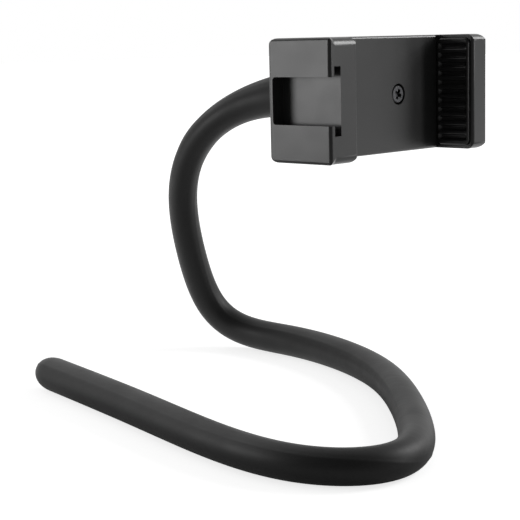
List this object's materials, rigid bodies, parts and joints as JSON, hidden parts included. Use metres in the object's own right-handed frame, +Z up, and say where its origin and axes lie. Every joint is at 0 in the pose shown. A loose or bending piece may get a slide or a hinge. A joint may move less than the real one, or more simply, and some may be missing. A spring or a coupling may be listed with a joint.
{
  "type": "flexible clamp mount",
  "caption": "Spring clamp for a phone with an accessory shoe in one jaw, on a bendable rubber-covered arm whose open loop stands on the table.",
  "frame": {"origin": "middle of the part's footprint, on the surface that its loop rests on", "axes": "+Z up; +X along the clamp, from the sliding jaw to the fixed jaw; +Y from the phone's side to the back of the clamp, where the arm leaves it"},
  "size_m": [0.1199, 0.1549, 0.106],
  "materials": {
    "moulded_plastic": "satin black moulding",
    "sleeve_rubber": "matt black",
    "pad_rubber": "matt black, ribbed",
    "steel": "zinc plated",
    "aluminium": "plain, drawn or turned",
    "nylon": "natural nylon"
  },
  "bodies": {
    "arm": {"arm_sleeve": "sleeve_rubber", "arm_core": "aluminium", "core_cap": "nylon", "arm_socket": "aluminium", "disc_spring": "steel", "friction_disc": "nylon", "swivel_screw": "steel", "screw_washer": "steel"},
    "clamp": {"housing": "moulded_plastic", "back_cover": "moulded_plastic", "cover_screw_left": "steel", "cover_screw_upper": "steel", "cover_screw_lower": "steel", "fixed_jaw_pad": "pad_rubber", "upper_spring": "steel", "lower_spring": "steel", "upper_housing_pin": "steel", "lower_housing_pin": "steel"},
    "jaw": {"sliding_jaw": "moulded_plastic", "sliding_jaw_pad": "pad_rubber", "upper_jaw_pin": "steel", "lower_jaw_pin": "steel"}
  },
  "joints": [
    {"name": "clamp_swivel", "type": "hinge", "parent": "arm", "child": "clamp", "pos_m": [0.0335, -0.0092, 0.089], "axis": [0, 1, 0], "continuous": true},
    {"name": "jaw_slide", "type": "slide", "parent": "clamp", "child": "jaw", "axis": [-1, 0, 0], "range_m": [0, 0.03], "stiffness_N_per_m": 150, "springref_m": -0.02, "deforming": ["upper_spring", "lower_spring"]}
  ]
}
